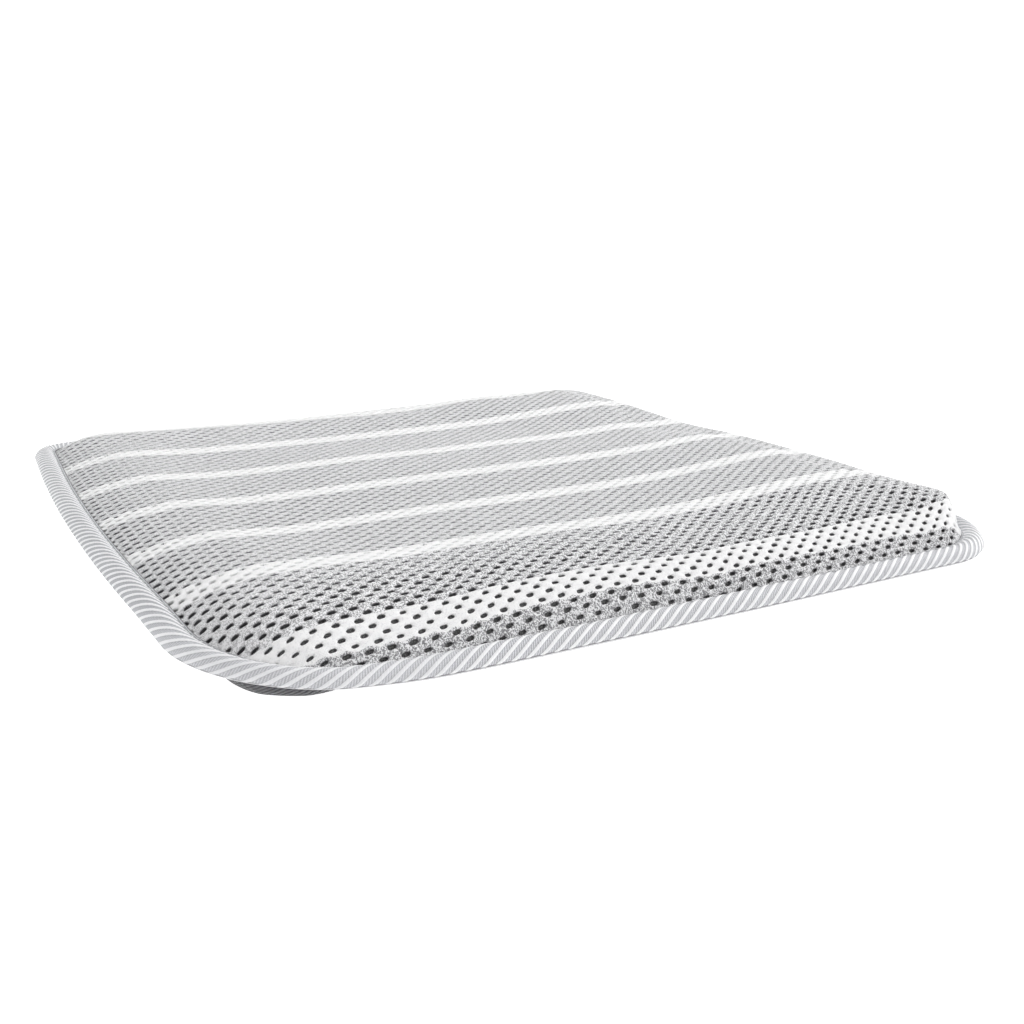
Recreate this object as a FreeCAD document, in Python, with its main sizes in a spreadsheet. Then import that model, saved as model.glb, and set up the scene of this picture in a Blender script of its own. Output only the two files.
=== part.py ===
import FreeCAD, Part
import math
import os
import Sketcher

# Square seat pad: a foam slab and wadding between cloths, bound round the edge with folded tape.
# Millimetres.  The floor is z = 0 and +Z is up.  The origin is under the middle of the pad's
# bounding box, -Y is the front edge and -X the left one.
# An "inset" is a distance inwards from the outline.  A "rise" is a height above the middle of
# the bound edge, and a "drop" is a depth below the crown of the top face.

Vector = FreeCAD.Vector
doc = FreeCAD.newDocument("seat_pad")

DIMENSIONS = [
    # outline of the bound edge: a rounded square whose sides bow outwards
    ("half_width", 195.0),
    ("half_depth", 195.0),
    ("corner_radius", 49.3),
    ("bow_left", 10.4),
    ("bow_right", 4.2),
    ("bow_front", 2.4),
    ("bow_back", 1.9),
    # height of the middle of the bound edge above the floor on each side
    ("edge_left", 17.1),
    ("edge_right", 5.0),
    ("edge_front", 5.7),
    ("edge_back", 5.5),
    # crown of the top face: its height, and how it rises towards three of the sides
    ("crown_centre", 21.8),
    ("crown_tilt", 0.0125),
    ("rise_left", 2.1),
    ("rise_right", 3.2),
    ("rise_right_slope", 0.013),
    ("rise_back", 2.2),
    ("rise_start", 86.0),
    ("rise_full", 157.0),
    ("shoulder_width", 27.0),
    # folded tape round the edge, with the slot that holds the cloths
    ("tape_width", 11.2),
    ("tape_half_height", 3.85),
    ("tape_ply", 1.2),
    ("tape_start_angle", 62.0),
    ("slot_half_height", 2.6),
    ("slot_end", 1.8),
    # layers
    ("cloth_edge_inset", 2.6),
    ("cloth_exit", 11.6),
    ("cloth_slot_gap", 0.3),
    ("mesh_thickness", 2.4),
    ("mesh_gripped", 1.7),
    ("lining_thickness", 0.4),
    ("lining_gripped_gap", 0.15),
    ("base_thickness", 0.8),
    ("layer_gap", 0.25),
    ("base_flat_inset", 32.0),
    ("wadding_edge_rise", -0.2),
    ("wadding_foam_gap", 0.2),
    # foam slab; foam_shift moves it towards the right
    ("foam_inset", 25.0),
    ("foam_corner", 26.0),
    ("foam_bottom", 1.2),
    ("foam_thickness", 13.8),
    ("foam_round_top", 5.0),
    ("foam_round_bottom", 4.0),
    ("foam_shift", 3.1),
    ("foam_extra_width", 3.0),
    # threads
    ("thread_radius", 0.33),
    ("stitch_inset", 9.3),
    ("stitch_gap", 0.25),
    ("closing_inset", 6.2),
    ("closing_rise", -0.75),
    ("closing_radius", 0.35),
]
sheet = doc.addObject("Spreadsheet::Sheet", "dimensions")
for row, (alias, value) in enumerate(DIMENSIONS, 1):
    sheet.set(f"A{row}", alias)
    sheet.set(f"B{row}", str(value))
    sheet.setAlias(f"B{row}", alias)
doc.recompute()
dim = {alias: float(sheet.get(alias)) for alias, _ in DIMENSIONS}

half_width, half_depth = dim["half_width"], dim["half_depth"]
cloth_exit = dim["cloth_exit"]
crown_inset = cloth_exit + dim["shoulder_width"]  # from here inwards a top layer follows the crown

# Stations in each straight side and each corner of a ring.
SIDE_STEPS, CORNER_STEPS = 8, 8
TANGENT_STEP = 0.02     # turn parameter either side of a station, for the outline's direction
SIDE_WEIGHT_FROM = 0.55  # share of the half size beyond which a side sets the edge height
LENGTH_STRIDE = 4       # every 4th station is used to measure how far apart rings lie

# Insets of the rings between the tape and the middle of each layer.
TOP_INSETS = [cloth_exit, 13.6, 16.4, 20.0, 24.0, 29.0, 34.0, crown_inset]
WADDING_INSETS = [27.5, 29.0, 31.5, 34.0, crown_inset]
BASE_INSETS = [cloth_exit, 14.0, 17.0, 20.5, 24.5, 28.5, dim["base_flat_inset"]]
# Further rings of a top layer: the ring at crown_inset, scaled towards the middle.
CROWN_SCALES = [0.93, 0.84, 0.74, 0.62, 0.5]

# Cross-section of the tape: a superellipse, blunter than a plain ellipse.
TAPE_STEPS = 12
TAPE_INSET_POWER, TAPE_HEIGHT_POWER = 0.9, 0.8
THREAD_STEPS = 8        # rings round the section of a thread


# ---------------------------------------------------------------------------
# Outline and heights
# ---------------------------------------------------------------------------
def rounded_sides(half_x, half_y, radius):
    """(start, end, centre of the corner after it) for the front, right, back and left sides."""
    inner_x, inner_y = half_x - radius, half_y - radius
    return [
        ((-inner_x, -half_y), (inner_x, -half_y), (inner_x, -inner_y)),
        ((half_x, -inner_y), (half_x, inner_y), (inner_x, inner_y)),
        ((inner_x, half_y), (-inner_x, half_y), (-inner_x, inner_y)),
        ((-half_x, inner_y), (-half_x, -inner_y), (-inner_x, -inner_y)),
    ]


OUTLINE_SIDES = rounded_sides(half_width, half_depth, dim["corner_radius"])


def plain_outline(turn):
    """Point on the unbowed outline, counter-clockwise from the front-left corner.

    turn runs 0..4; each unit is one side and then the corner after it.
    """
    turn %= 4.0
    side = int(turn)
    part = 2 * (turn - side)
    (start_x, start_y), (end_x, end_y), (centre_x, centre_y) = OUTLINE_SIDES[side]
    if part < 1:
        return start_x + (end_x - start_x) * part, start_y + (end_y - start_y) * part
    angle = math.radians(-90 + 90 * side + 90 * (part - 1))
    radius = dim["corner_radius"]
    return centre_x + radius * math.cos(angle), centre_y + radius * math.sin(angle)


def bowed_outline(turn):
    """Point on the outline with its sides bowed, centred on the origin."""
    x, y = plain_outline(turn)
    bow_x = dim["bow_left"] if x < 0 else dim["bow_right"]
    bow_y = dim["bow_front"] if y < 0 else dim["bow_back"]
    bowed_x = x + bow_x * (1 - (y / half_depth) ** 2) * x / half_width
    bowed_y = y + bow_y * (1 - (x / half_width) ** 2) * y / half_depth
    return (bowed_x + (dim["bow_left"] - dim["bow_right"]) / 2,
            bowed_y + (dim["bow_front"] - dim["bow_back"]) / 2)


def outward(turn):
    """Unit vector pointing out of the outline."""
    x0, y0 = bowed_outline(turn - TANGENT_STEP)
    x1, y1 = bowed_outline(turn + TANGENT_STEP)
    length = math.hypot(x1 - x0, y1 - y0)
    return (y1 - y0) / length, -(x1 - x0) / length


def edge_height(turn):
    """Height of the middle of the bound edge: level along each side, eased round the corners."""
    x, y = plain_outline(turn)
    across, along = x / half_width, y / half_depth
    weights = [max(0.0, reach - SIDE_WEIGHT_FROM) ** 2
               for reach in (-across, across, -along, along)]
    heights = [dim["edge_" + side] for side in ("left", "right", "front", "back")]
    return sum(w * height for w, height in zip(weights, heights)) / sum(weights)


def side_rise(distance):
    """Smooth step from 0 at rise_start to 1 at rise_full."""
    step = (distance - dim["rise_start"]) / (dim["rise_full"] - dim["rise_start"])
    step = min(1.0, max(0.0, step))
    return step * step * (3 - 2 * step)


def crown(x, y):
    """Height of the top face away from the edges."""
    return (dim["crown_centre"] - dim["crown_tilt"] * y
            + dim["rise_left"] * side_rise(-x)
            + (dim["rise_right"] - dim["rise_right_slope"] * y) * side_rise(x)
            + dim["rise_back"] * side_rise(y))


# ---------------------------------------------------------------------------
# Rings: closed rows of points, one at each station round the outline
# ---------------------------------------------------------------------------
stations = []
for side in range(4):
    stations += [side + 0.5 * k / SIDE_STEPS for k in range(SIDE_STEPS)]
    stations += [side + 0.5 + 0.5 * k / CORNER_STEPS for k in range(CORNER_STEPS)]


def fractions(lengths):
    """Running total of the lengths, from 0 to 1."""
    totals = [0.0]
    for length in lengths:
        totals.append(totals[-1] + length)
    return [total / totals[-1] for total in totals]


outline = [bowed_outline(turn) for turn in stations]
ring_params = fractions(math.hypot(x1 - x0, y1 - y0) for (x0, y0), (x1, y1)
                        in zip(outline, outline[1:] + outline[:1]))


def ring(inset, height, scale=1.0):
    """The outline moved inwards by inset, then scaled towards the middle.

    height(edge, x, y) gives z, where edge is the edge height at the station.
    """
    points = []
    for turn in stations:
        x, y = bowed_outline(turn)
        out_x, out_y = outward(turn)
        x = (x - out_x * inset) * scale
        y = (y - out_y * inset) * scale
        points.append(Vector(x, y, height(edge_height(turn), x, y)))
    return points


def edge_ring(inset, rise):
    """Ring that follows the bound edge."""
    return ring(inset, lambda edge, x, y: edge + rise)


def ring_curve(points):
    curve = Part.BSplineCurve()
    curve.interpolate(Points=points, PeriodicFlag=True, Parameters=ring_params)
    return curve


# ---------------------------------------------------------------------------
# Faces and solids
# ---------------------------------------------------------------------------
def surface_face(curve, poles, mults, knots, degree, closed=False):
    """Face that runs round like curve; mults, knots and degree are those across the rings."""
    surface = Part.BSplineSurface()
    surface.buildFromPolesMultsKnots(
        poles, curve.getMultiplicities(), mults, curve.getKnots(), knots,
        True, closed, curve.Degree, degree)
    return surface.toShape()


def smooth_face(rings, params, closed=False):
    """Smooth face through the rings; closed joins the last ring to the first."""
    curves = [ring_curve(points) for points in rings]
    columns = []
    for column_poles in zip(*[curve.getPoles() for curve in curves]):
        column = Part.BSplineCurve()
        column.interpolate(Points=list(column_poles), PeriodicFlag=closed, Parameters=params)
        columns.append(column)
    first = columns[0]
    return surface_face(curves[0], [column.getPoles() for column in columns],
                        first.getMultiplicities(), first.getKnots(), first.Degree, closed)


def skin(rings):
    """Smooth open face through the rings, spaced by the distance between them."""
    lengths = [sum((after[i] - before[i]).Length for i in range(0, len(stations), LENGTH_STRIDE))
               for before, after in zip(rings, rings[1:])]
    return smooth_face(rings, fractions(lengths))


def band(ring_a, ring_b):
    """Face with straight rulings between two rings."""
    curve_a, curve_b = ring_curve(ring_a), ring_curve(ring_b)
    poles = [list(pair) for pair in zip(curve_a.getPoles(), curve_b.getPoles())]
    return surface_face(curve_a, poles, mults=[2, 2], knots=[0.0, 1.0], degree=1)


def cap(points):
    """Face across a ring."""
    return Part.Face(Part.Wire([ring_curve(points).toShape()]))


def positive_solid(shell):
    solid = Part.makeSolid(shell)
    if solid.Volume < 0:
        solid.reverse()
    return solid


def closed_solid(faces):
    shell = Part.makeShell(faces)
    shell.sewShape()
    # Sewing may wrap the shell in a compound.
    if shell.ShapeType != "Shell":
        shell = shell.Shells[0]
    return positive_solid(shell)


def cloth_solid(rings_a, rise_a, rings_b, rise_b):
    """Cloth between two stacks of rings, with its cut edge tucked into the tape."""
    faces, tucked = [], []
    for rings, rise in ((rings_a, rise_a), (rings_b, rise_b)):
        cut_edge = edge_ring(dim["cloth_edge_inset"], rise)
        faces += [band(cut_edge, rings[0]), skin(rings), cap(rings[-1])]
        tucked.append(cut_edge)
    return closed_solid(faces + [band(*tucked)])


def add_feature(name, shape):
    feature = doc.addObject("Part::Feature", name)
    feature.Label = name
    feature.Shape = shape
    return feature


# ---------------------------------------------------------------------------
# Top layers: mesh cover, lining and wadding
# ---------------------------------------------------------------------------
def top_rings(rise, drop, insets=TOP_INSETS):
    """Rings that leave the tape at rise and blend over the shoulder to drop below the crown."""
    rings = []
    for inset in insets:
        across = min(1.0, max(0.0, (inset - cloth_exit) / dim["shoulder_width"]))
        blend = 1 - (1 - across) ** 2
        rings.append(ring(inset, lambda edge, x, y: (
            (edge + rise) * (1 - blend) + (crown(x, y) - drop) * blend)))
    for scale in CROWN_SCALES:
        rings.append(ring(crown_inset, lambda edge, x, y: crown(x, y) - drop, scale))
    return rings


def top_cloth(rise, drop, gripped, thickness):
    """Cloth of the given thickness, squeezed to gripped inside the tape."""
    return cloth_solid(top_rings(rise, drop), rise,
                       top_rings(rise - gripped, drop + thickness), rise - gripped)


cloth_rise = dim["slot_half_height"] - dim["cloth_slot_gap"]
lining_rise = cloth_rise - dim["mesh_gripped"] - dim["lining_gripped_gap"]
lining_drop = dim["mesh_thickness"] + dim["layer_gap"]
wadding_drop = lining_drop + dim["lining_thickness"] + dim["layer_gap"]


def mesh_cover():
    return top_cloth(cloth_rise, 0.0, dim["mesh_gripped"], dim["mesh_thickness"])


def mesh_lining():
    return top_cloth(lining_rise, lining_drop, dim["lining_thickness"], dim["lining_thickness"])


def wadding():
    """Fills between the flat top of the foam and the lining."""
    bottom_z = dim["foam_bottom"] + dim["foam_thickness"] + dim["wadding_foam_gap"]
    upper = top_rings(dim["wadding_edge_rise"], wadding_drop, WADDING_INSETS)
    lower = ring(WADDING_INSETS[0], lambda edge, x, y: bottom_z)
    return closed_solid([skin(upper), cap(upper[-1]), band(upper[0], lower), cap(lower)])


# ---------------------------------------------------------------------------
# Bottom cloth: flat on the floor, turned up to the tape round the edge
# ---------------------------------------------------------------------------
def base_rings(rise, flat_z):
    rings = []
    for inset in BASE_INSETS:
        lift = (1 - (inset - cloth_exit) / (dim["base_flat_inset"] - cloth_exit)) ** 2
        rings.append(ring(inset, lambda edge, x, y: flat_z + (edge + rise - flat_z) * lift))
    return rings


def bottom_cover():
    thickness = dim["base_thickness"]
    under_rise = -cloth_rise
    over_rise = under_rise + thickness
    return cloth_solid(base_rings(under_rise, 0.0), under_rise,
                       base_rings(over_rise, thickness), over_rise)


# ---------------------------------------------------------------------------
# Folded tape: a channel round the edge that opens inwards
# ---------------------------------------------------------------------------
def signed_power(value, power):
    return math.copysign(abs(value) ** power, value)


def tape_section():
    """(inset, rise) round the outside of the tape, from its top inner edge to its bottom one."""
    lip_rise = dim["slot_half_height"] + dim["tape_ply"] / 2
    start = dim["tape_start_angle"]
    points = [(dim["tape_width"], lip_rise)]
    for k in range(TAPE_STEPS + 1):
        angle = math.radians(start + (360 - 2 * start) * k / TAPE_STEPS)
        points.append((
            dim["tape_width"] / 2 * (1 + signed_power(math.cos(angle), TAPE_INSET_POWER)),
            dim["tape_half_height"] * signed_power(math.sin(angle), TAPE_HEIGHT_POWER)))
    return points + [(dim["tape_width"], -lip_rise)]


def edge_binding():
    mouth, end, half_slot = dim["tape_width"], dim["slot_end"], dim["slot_half_height"]
    slot_section = [(mouth, half_slot), (end, half_slot), (end, -half_slot), (mouth, -half_slot)]
    outside = [edge_ring(inset, rise) for inset, rise in tape_section()]
    slot = [edge_ring(inset, rise) for inset, rise in slot_section]
    inside = [outside[0]] + slot + [outside[-1]]
    return closed_solid([skin(outside)] + [band(*pair) for pair in zip(inside, inside[1:])])


# ---------------------------------------------------------------------------
# Threads: a lockstitch row above and below the tape, and a closing seam inside it
# ---------------------------------------------------------------------------
def thread(inset, rise, radius):
    """A round cord along the edge: one face, closed both ways."""
    rings = []
    for k in range(THREAD_STEPS):
        angle = 2 * math.pi * k / THREAD_STEPS
        rings.append(edge_ring(inset + radius * math.cos(angle), rise + radius * math.sin(angle)))
    params = [k / THREAD_STEPS for k in range(THREAD_STEPS + 1)]
    return positive_solid(Part.makeShell([smooth_face(rings, params, closed=True)]))


def stitch_rise():
    """Rise of the needle thread, clear of the tape's top face.

    The stitch lies over the first span of the section, next to the tape's inner edge.
    """
    (inset0, rise0), (inset1, rise1) = tape_section()[:2]
    tape_rise = rise0 + (rise1 - rise0) * (dim["stitch_inset"] - inset0) / (inset1 - inset0)
    return tape_rise + dim["thread_radius"] + dim["stitch_gap"]


def stitch_thread(rise):
    return thread(dim["stitch_inset"], rise, dim["thread_radius"])


def closing_thread():
    return thread(dim["closing_inset"], dim["closing_rise"], dim["closing_radius"])


# ---------------------------------------------------------------------------
# Foam slab: rounded corners, top and bottom edges rounded over
# ---------------------------------------------------------------------------
def draw_foam_outline(sketch):
    """Lines are geometry 0, 2, 4, 6 (front, right, back, left); each arc follows its line."""
    half_x = half_width - dim["foam_inset"] + dim["foam_extra_width"] / 2
    half_y = half_depth - dim["foam_inset"]
    radius = dim["foam_corner"]
    geometry = []
    for k, (start, end, centre) in enumerate(rounded_sides(half_x, half_y, radius)):
        circle = Part.Circle(Vector(*centre, 0), Vector(0, 0, 1), radius)
        geometry += [
            Part.LineSegment(Vector(*start, 0), Vector(*end, 0)),
            Part.ArcOfCircle(circle, (k - 1) * math.pi / 2, k * math.pi / 2),
        ]
    sketch.addGeometry(geometry, False)

    Constraint = Sketcher.Constraint
    sketch.addConstraint(
        [Constraint("Tangent", k, 2, (k + 1) % 8, 1) for k in range(8)]
        + [Constraint("Horizontal", 0), Constraint("Vertical", 2),
           Constraint("Horizontal", 4), Constraint("Vertical", 6)]
        + [Constraint("Equal", k, k + 2) for k in (1, 3, 5)])

    # Corner radius, width, depth, then the places of the right and back sides.
    right = "dimensions.half_width - dimensions.foam_inset"
    back = "dimensions.half_depth - dimensions.foam_inset"
    extra = "dimensions.foam_extra_width"
    sizes = [
        (Constraint("Radius", 1, radius), "dimensions.foam_corner"),
        (Constraint("DistanceX", 6, 1, 2, 2, 2 * half_x), f"2 * ({right}) + {extra}"),
        (Constraint("DistanceY", 0, 1, 4, 1, 2 * half_y), f"2 * ({back})"),
        (Constraint("DistanceX", -1, 1, 2, 2, half_x),
         f"{right} + {extra} / 2 + dimensions.foam_shift"),
        (Constraint("DistanceY", -1, 1, 4, 1, half_y), back),
    ]
    indices = [sketch.addConstraint(constraint) for constraint, _ in sizes]
    for index, (_, expression) in zip(indices, sizes):
        sketch.setExpression(f"Constraints[{index}]", expression)


def rim_edges(shape, z):
    """Names of the edges that lie level at height z."""
    return [f"Edge{number}" for number, edge in enumerate(shape.Edges, 1)
            if abs(edge.BoundBox.ZMin - z) < 1e-4 and abs(edge.BoundBox.ZMax - z) < 1e-4]


def foam_core():
    body = doc.addObject("PartDesign::Body", "foam_core")
    body.Label = "foam_core"
    sketch = body.newObject("Sketcher::SketchObject", "foam_outline")
    floor_plane = [f for f in body.Origin.OriginFeatures if f.Role == "XY_Plane"][0]
    sketch.AttachmentSupport = [(floor_plane, "")]
    sketch.MapMode = "FlatFace"
    sketch.setExpression("AttachmentOffset.Base.z", "dimensions.foam_bottom")
    draw_foam_outline(sketch)

    slab = body.newObject("PartDesign::Pad", "foam_slab")
    slab.Profile = sketch
    slab.Length = dim["foam_thickness"]
    slab.setExpression("Length", "dimensions.foam_thickness")
    doc.recompute()

    bottom_z = dim["foam_bottom"]
    base = slab
    for side, z in (("top", bottom_z + dim["foam_thickness"]), ("bottom", bottom_z)):
        alias = "foam_round_" + side
        fillet = body.newObject("PartDesign::Fillet", alias + "_edge")
        fillet.Base = (base, rim_edges(base.Shape, z))
        fillet.Radius = dim[alias]
        fillet.setExpression("Radius", "dimensions." + alias)
        doc.recompute()
        base = fillet
    body.Tip = base
    return body


# ---------------------------------------------------------------------------
# Build, check and export
# ---------------------------------------------------------------------------
pieces = [
    add_feature("top_mesh_cover", mesh_cover()),
    add_feature("mesh_lining", mesh_lining()),
    add_feature("wadding_layer", wadding()),
    add_feature("bottom_cover", bottom_cover()),
    add_feature("edge_binding", edge_binding()),
    add_feature("binding_needle_thread", stitch_thread(stitch_rise())),
    add_feature("binding_bobbin_thread", stitch_thread(-stitch_rise())),
    add_feature("closing_seam_thread", closing_thread()),
    foam_core(),
]
doc.recompute()

for item in doc.Objects:
    bad_states = [state for state in item.State if state in ("Invalid", "Error")]
    if bad_states:
        raise RuntimeError(f"{item.Name} is {bad_states}")
for piece in pieces:
    shape = piece.Shape
    if shape.isNull() or not shape.isValid() or shape.Volume <= 0 or not shape.Solids:
        raise RuntimeError(f"{piece.Label} has no valid solid")

os.makedirs("parts", exist_ok=True)
for piece in pieces:
    piece.Shape.exportStep(f"parts/{piece.Label}.step")
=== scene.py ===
"""A square, soft-cornered pad: striped air-mesh top over lining, wadding and foam, its edge
bound in a tape with slanting stripes, its base cloth turned up into the tape.

+Z is up and the floor is z = 0. The stripes run along X, the front edge is at -Y. Lengths are
in millimetres unless noted; make_mesh turns them into metres. Distances along the edge start
where the front-left corner meets the front side and run counter-clockwise seen from above.
"""
import math

import bpy
import numpy as np
from mathutils import Matrix, Vector


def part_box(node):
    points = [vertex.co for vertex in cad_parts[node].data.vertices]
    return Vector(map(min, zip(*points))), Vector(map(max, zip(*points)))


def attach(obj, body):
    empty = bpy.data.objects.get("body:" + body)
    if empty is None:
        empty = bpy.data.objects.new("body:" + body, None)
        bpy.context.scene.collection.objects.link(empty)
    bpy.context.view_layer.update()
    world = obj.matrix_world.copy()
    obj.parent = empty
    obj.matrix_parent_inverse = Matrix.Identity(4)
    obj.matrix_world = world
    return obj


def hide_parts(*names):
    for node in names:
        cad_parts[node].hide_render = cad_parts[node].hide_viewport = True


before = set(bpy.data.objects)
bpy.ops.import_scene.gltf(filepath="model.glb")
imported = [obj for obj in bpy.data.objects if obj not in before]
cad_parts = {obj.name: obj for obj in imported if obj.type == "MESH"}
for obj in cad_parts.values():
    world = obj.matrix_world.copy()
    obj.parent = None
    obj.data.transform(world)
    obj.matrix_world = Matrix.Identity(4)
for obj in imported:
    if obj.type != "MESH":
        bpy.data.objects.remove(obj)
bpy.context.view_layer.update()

MM = 0.001
rng = np.random.default_rng(11)


# =============================================================================
# 1. Small numeric helpers
# =============================================================================
def unit(vectors):
    return vectors / np.linalg.norm(vectors, axis=-1, keepdims=True)


def smoothstep(x):
    return x * x * (3 - 2 * x)


def bell(reach, sigma):
    """Gaussian weights that add up to 1."""
    kernel = np.exp(-0.5 * (np.arange(-reach, reach + 1) / sigma) ** 2)
    return kernel / kernel.sum()


def smooth_loop(values, reach, sigma):
    """Gaussian smoothing of values that run round a closed loop."""
    wrapped = np.concatenate([values[-reach:], values, values[:reach]])
    return np.convolve(wrapped, bell(reach, sigma), "valid")


def blur(grid, sigma):
    """Gaussian blur of a grid, one axis after the other."""
    reach = int(3 * sigma) + 1
    kernel = bell(reach, sigma)
    for _ in range(2):
        padded = np.pad(grid, [(reach, reach), (0, 0)], mode="edge")
        grid = sum(w * padded[i:i + len(grid)] for i, w in enumerate(kernel)).T
    return grid


def natural_spline(knots, values):
    """Natural cubic through each column of values; returns a function of x."""
    knots, values = np.asarray(knots, float), np.asarray(values, float)
    count = len(knots)
    gap = np.diff(knots)
    matrix = np.zeros((count, count))
    right_side = np.zeros_like(values)
    matrix[0, 0] = matrix[-1, -1] = 1
    for i in range(1, count - 1):
        matrix[i, i - 1:i + 2] = gap[i - 1], 2 * (gap[i - 1] + gap[i]), gap[i]
        rise, rise_before = values[i + 1] - values[i], values[i] - values[i - 1]
        right_side[i] = 6 * (rise / gap[i] - rise_before / gap[i - 1])
    bend = np.linalg.solve(matrix, right_side)

    def evaluate(x):
        x = np.clip(x, knots[0], knots[-1])
        i = np.clip(np.searchsorted(knots, x) - 1, 0, count - 2)
        before = (knots[i + 1] - x)[:, None]
        after = (x - knots[i])[:, None]
        width = gap[i][:, None]
        return ((bend[i] * before ** 3 + bend[i + 1] * after ** 3) / (6 * width)
                + (values[i] / width - bend[i] * width / 6) * before
                + (values[i + 1] / width - bend[i + 1] * width / 6) * after)
    return evaluate


# =============================================================================
# 2. Outline of the pad, fitted to the CAD box of the edge binding
# =============================================================================
HALF_X, HALF_Y = 195.0, 195.0
CORNER_RADIUS = 49.3
# how far the middle of each side bows out past the rounded square
BOW = dict(left=10.4, right=4.2, front=2.4, back=1.9)
# height of the middle of the bound edge on each side
EDGE_HEIGHT = dict(left=17.1, right=5.0, front=5.7, back=5.5)


def fit_axis(low, high, half, bow_low, bow_high):
    """Scale and centre that make the bowed outline fill the CAD box along one axis."""
    scale = (high - low) / MM / (2 * half + bow_low + bow_high)
    return scale, (high + low) / 2 / MM + (bow_low - bow_high) / 2 * scale


binding_low, binding_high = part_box("edge_binding")
SCALE_X, CENTRE_X = fit_axis(binding_low.x, binding_high.x, HALF_X, BOW["left"], BOW["right"])
SCALE_Y, CENTRE_Y = fit_axis(binding_low.y, binding_high.y, HALF_Y, BOW["front"], BOW["back"])


def plain_outline(turn):
    """Rounded square for turn 0..4. Each unit is a side, then the corner that follows it."""
    side = np.floor(turn).astype(int)
    part = turn - side
    x, y = HALF_X - CORNER_RADIUS, HALF_Y - CORNER_RADIUS
    centres = np.array([(x, -y), (x, y), (-x, y), (-x, -y)])
    starts = np.array([(-x, -HALF_Y), (HALF_X, -y), (x, HALF_Y), (-HALF_X, y)])
    ends = np.array([(x, -HALF_Y), (HALF_X, y), (-x, HALF_Y), (-HALF_X, -y)])
    along = np.clip(part / 0.5, 0, 1)[:, None]
    straight = starts[side] + (ends[side] - starts[side]) * along
    angle = np.radians(-90 + 90 * side + 90 * np.clip((part - 0.5) / 0.5, 0, 1))
    arc = centres[side] + CORNER_RADIUS * np.stack([np.cos(angle), np.sin(angle)], 1)
    return np.where((part < 0.5)[:, None], straight, arc)


def bowed(points):
    x, y = points[:, 0], points[:, 1]
    bow_x = np.where(x < 0, BOW["left"], BOW["right"])
    bow_y = np.where(y < 0, BOW["front"], BOW["back"])
    out_x = x + np.sign(x) * bow_x * (1 - (y / HALF_Y) ** 2) * np.abs(x) / HALF_X
    out_y = y + np.sign(y) * bow_y * (1 - (x / HALF_X) ** 2) * np.abs(y) / HALF_Y
    return np.stack([out_x * SCALE_X + CENTRE_X, out_y * SCALE_Y + CENTRE_Y], 1)


def edge_height(points):
    """Height of each side, blended through the corners."""
    x, y = points[:, 0] / HALF_X, points[:, 1] / HALF_Y
    weights = [np.clip(reach - 0.55, 0, None) ** 2 for reach in (-x, x, -y, y)]
    heights = [EDGE_HEIGHT[side] for side in ("left", "right", "front", "back")]
    return sum(w * height for w, height in zip(weights, heights)) / sum(weights)


square = plain_outline(np.linspace(0, 4, 16000, endpoint=False))
outline = bowed(square)
outline_z = edge_height(square)
steps = np.linalg.norm(np.roll(outline, -1, 0) - outline, axis=1)
travelled = np.concatenate([[0], np.cumsum(steps)])
PERIMETER = travelled[-1]


def edge_points(count):
    """Evenly spaced points of the outline: position, outward normal, height, distance."""
    distance = np.arange(count) * PERIMETER / count
    closed = np.vstack([outline, outline[:1]])
    point = np.stack([np.interp(distance, travelled, closed[:, i]) for i in (0, 1)], 1)
    height = np.interp(distance, travelled, np.append(outline_z, outline_z[0]))
    reach = max(1, int(round(count * 3.0 / PERIMETER)))
    tangent = unit(np.roll(point, -reach, 0) - np.roll(point, reach, 0))
    tangent = unit(np.stack(
        [smooth_loop(tangent[:, i], 3 * reach, 1.2 * reach) for i in (0, 1)], 1))
    return point, np.stack([tangent[:, 1], -tangent[:, 0]], 1), height, distance


FINE_COUNT = 7280
fine_point, fine_outward, fine_height, _ = edge_points(FINE_COUNT)


def edge_at(distance):
    """Position, outward normal and height of the outline at any distances along it."""
    place = np.mod(distance, PERIMETER) / PERIMETER * FINE_COUNT
    i = np.floor(place).astype(int) % FINE_COUNT
    j = (i + 1) % FINE_COUNT
    part = place - np.floor(place)
    share = part[..., None]
    outward = unit(fine_outward[i] * (1 - share) + fine_outward[j] * share)
    point = fine_point[i] * (1 - share) + fine_point[j] * share
    return point, outward, fine_height[i] * (1 - part) + fine_height[j] * part


def round_edge(stations, values, distance, spread):
    """Values given at stations along the edge, joined smoothly all the way round."""
    every = np.arange(0, PERIMETER, 1.0)
    wrapped = np.concatenate([[stations[-1] - PERIMETER], stations, [stations[0] + PERIMETER]])
    joined = np.interp(every, wrapped, np.concatenate([values[-1:], values, values[:1]]))
    joined = smooth_loop(joined, int(3 * spread), spread)
    return np.interp(np.mod(distance, PERIMETER), np.append(every, PERIMETER),
                     np.append(joined, joined[0]))


# =============================================================================
# 3. Height grid of the top cloth
# =============================================================================
GRID_X0, GRID_Y0 = -212.0, -206.0
GRID_STEP = 1.0
COUNT_X, COUNT_Y = 425, 413
line_x = GRID_X0 + np.arange(COUNT_X) * GRID_STEP
line_y = GRID_Y0 + np.arange(COUNT_Y) * GRID_STEP
GRID_X, GRID_Y = np.meshgrid(line_x, line_y, indexing="ij")


def nearest_edge(points, edge, chunk=8000):
    """Index of the nearest edge point for every point."""
    nearest = np.empty(len(points), int)
    for i in range(0, len(points), chunk):
        part = points[i:i + chunk]
        squared = ((part[:, None, 0] - edge[None, :, 0]) ** 2
                   + (part[:, None, 1] - edge[None, :, 1]) ** 2)
        nearest[i:i + chunk] = squared.argmin(1)
    return nearest


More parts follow.
